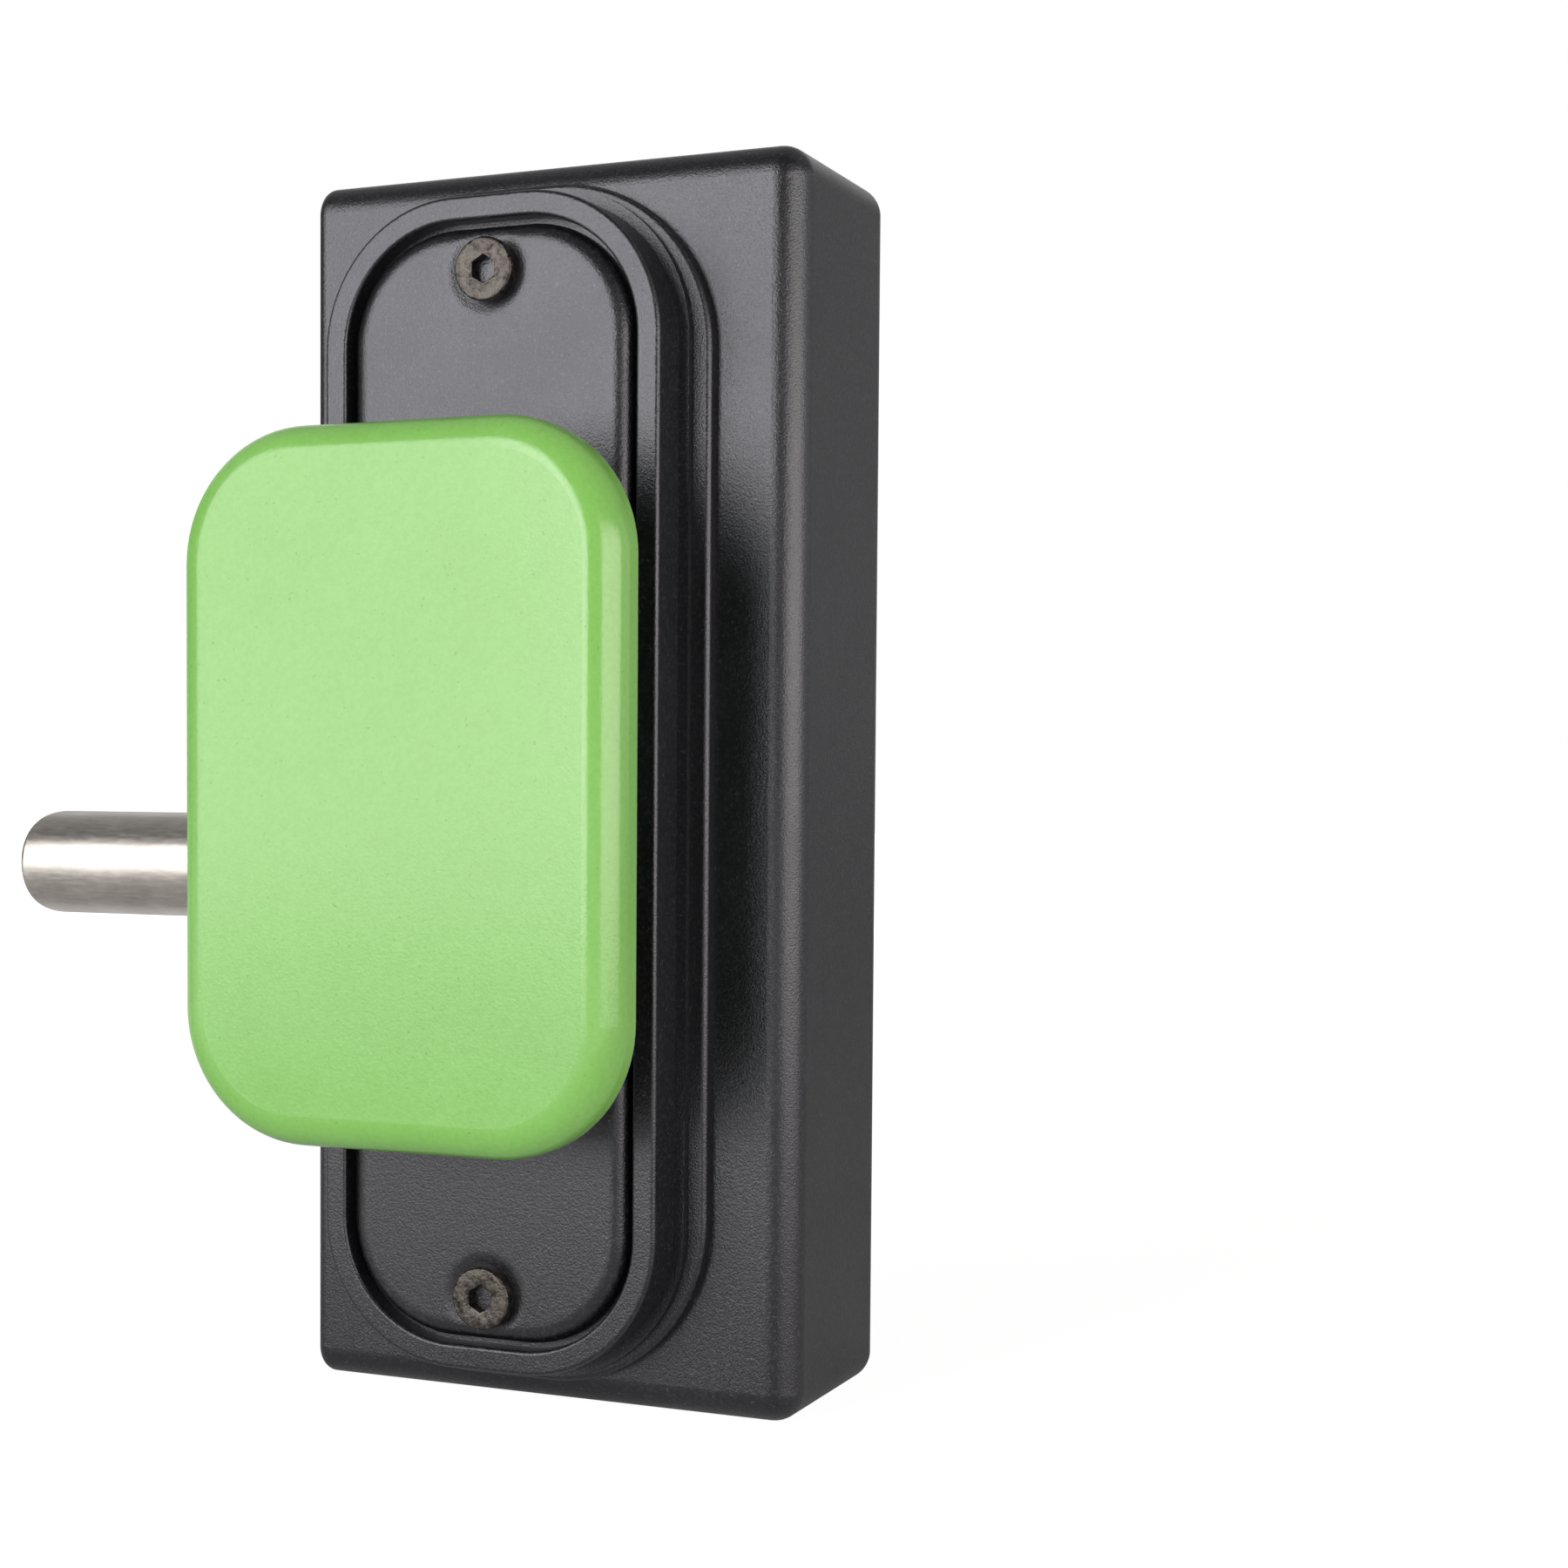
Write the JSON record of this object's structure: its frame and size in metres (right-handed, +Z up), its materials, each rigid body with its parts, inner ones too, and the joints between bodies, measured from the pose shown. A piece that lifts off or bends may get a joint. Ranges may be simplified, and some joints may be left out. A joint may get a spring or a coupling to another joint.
{
  "type": "gate lock",
  "caption": "Narrow gate lock: a push pad on one side draws a round bevelled latch bolt out of the case's edge through sloping cam slots; a spring throws it again.",
  "frame": {"origin": "centre of the mounting plate's face, midway between the two fixing holes", "axes": "+X into the case, so the latch bolt points along -X; +Z up along the case; -Y is the side with the push pad and +Y is the blank side"},
  "size_m": [0.1331, 0.0725, 0.17],
  "materials": {
    "black_powder_coat": "satin black powder coat with a fine speckle",
    "bare_steel_plate": "bare steel with a fine blasted grain",
    "heat_tinted_steel": "ground pin ends with a brown heat tint",
    "stainless_bar": "satin stainless bar",
    "worn_screw_steel": "steel screw heads, brownish and slightly worn",
    "green_pad": "light green moulded pad with a fine grain",
    "black_liner": "black sliding plastic",
    "cast_alloy": "die cast alloy",
    "zinc_plated_steel": "zinc plated sheet steel",
    "inner_steel": "plain steel",
    "spring_steel": "spring steel wire"
  },
  "bodies": {
    "case": {"lock_case": "black_powder_coat", "mounting_plate": "bare_steel_plate", "weld_pins": "heat_tinted_steel", "bolt_guide_bush": "black_liner", "guide_frame": "zinc_plated_steel", "spring_guide_rod": "inner_steel", "upper_fixing_lug": "zinc_plated_steel", "lower_fixing_lug": "zinc_plated_steel", "front_collar": "black_powder_coat", "front_plate": "black_powder_coat", "front_plate_screws": "worn_screw_steel", "plunger_guide": "black_liner", "blank_cover": "black_powder_coat", "return_spring": "spring_steel"},
    "pad": {"push_pad": "green_pad", "push_plunger": "cast_alloy", "pad_screws": "inner_steel", "upper_cam_plate": "zinc_plated_steel", "lower_cam_plate": "zinc_plated_steel", "cam_rivets": "inner_steel"},
    "bolt": {"latch_bolt": "stainless_bar", "bolt_carriage": "cast_alloy", "cross_pin": "inner_steel", "cross_pin_clips": "spring_steel"}
  },
  "joints": [
    {"name": "bolt_slide", "type": "slide", "parent": "case", "child": "bolt", "axis": [1, 0, 0], "range_m": [0, 0.02], "stiffness_N_per_m": 600, "springref_m": -0.01, "deforming": ["return_spring"]},
    {"name": "pad_push", "type": "slide", "parent": "case", "child": "pad", "axis": [0, 1, 0], "range_m": [0, 0.01]}
  ],
  "couplings": [
    {"joint": "pad_push", "follows": "bolt_slide", "ratio": 0.5}
  ]
}
